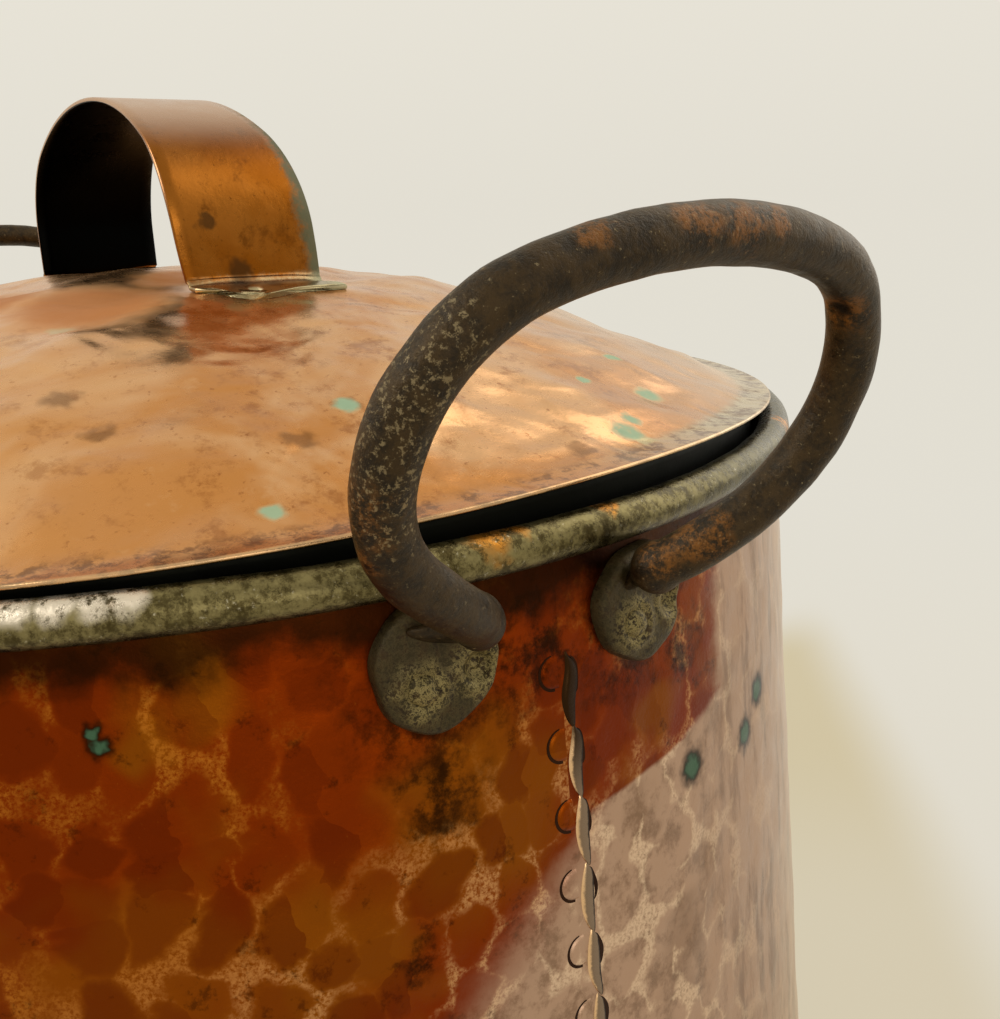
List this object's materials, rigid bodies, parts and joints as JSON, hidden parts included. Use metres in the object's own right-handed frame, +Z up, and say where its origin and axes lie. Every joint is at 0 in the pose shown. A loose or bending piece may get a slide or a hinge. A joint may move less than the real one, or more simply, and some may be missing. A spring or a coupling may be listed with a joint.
{
  "type": "copper cooking pot",
  "caption": "Large round hammered copper pot with a rolled rim, iron loop handles and a loose domed lid with a wide strap handle.",
  "frame": {"origin": "centre of the base on the surface that the pot stands on", "axes": "+Z up through the lid; +X through the middle of the right handle; +Y a quarter turn from it"},
  "size_m": [0.5668, 0.4966, 0.4638],
  "materials": {
    "wall_copper": "hammered copper, tarnished reddish brown, cramped seam",
    "lid_copper": "hammered copper, orange brown with green spots",
    "flange_copper": "dark green tarnished copper",
    "strap_copper": "copper sheet, orange brown with green along its edges",
    "forged_iron": "forged iron, dark brown with rust",
    "rivet_iron": "corroded iron, dark brown"
  },
  "bodies": {
    "root": {"pot_wall": "wall_copper", "pot_base": "wall_copper", "right_handle": "forged_iron", "left_handle": "forged_iron", "right_handle_rivets": "rivet_iron", "left_handle_rivets": "rivet_iron", "lid": "lid_copper", "lid_flange": "flange_copper", "lid_strap": "strap_copper", "lid_strap_rivets": "strap_copper"}
  },
  "joints": []
}
